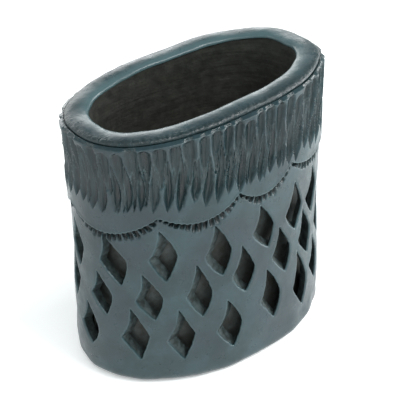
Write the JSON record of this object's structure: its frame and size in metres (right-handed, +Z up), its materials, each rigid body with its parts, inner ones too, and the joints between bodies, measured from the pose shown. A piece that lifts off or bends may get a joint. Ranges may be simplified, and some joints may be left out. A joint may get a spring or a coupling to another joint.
{
  "type": "oval openwork clay pot",
  "caption": "Oval double-walled pot of burnished black clay with diamond openwork, a scalloped garland, a fluted collar and a rolled rim.",
  "frame": {"origin": "middle of the flat foot, on the surface that the pot stands on", "axes": "+Z up through the mouth, X along the oval's length with the rim's higher end at +X, Y across the oval"},
  "size_m": [0.1016, 0.0694, 0.1048],
  "materials": {
    "burnished_clay": "leather-hard burnished, smoke-blackened, semi-gloss graphite grey",
    "matte_clay": "wiped, unburnished, smoke-blackened, matte brown-black"
  },
  "bodies": {
    "root": {"floor_slab": "matte_clay", "liner_wall": "matte_clay", "openwork_wall": "burnished_clay", "fluted_collar": "burnished_clay", "rim_ring": "burnished_clay"}
  },
  "joints": []
}
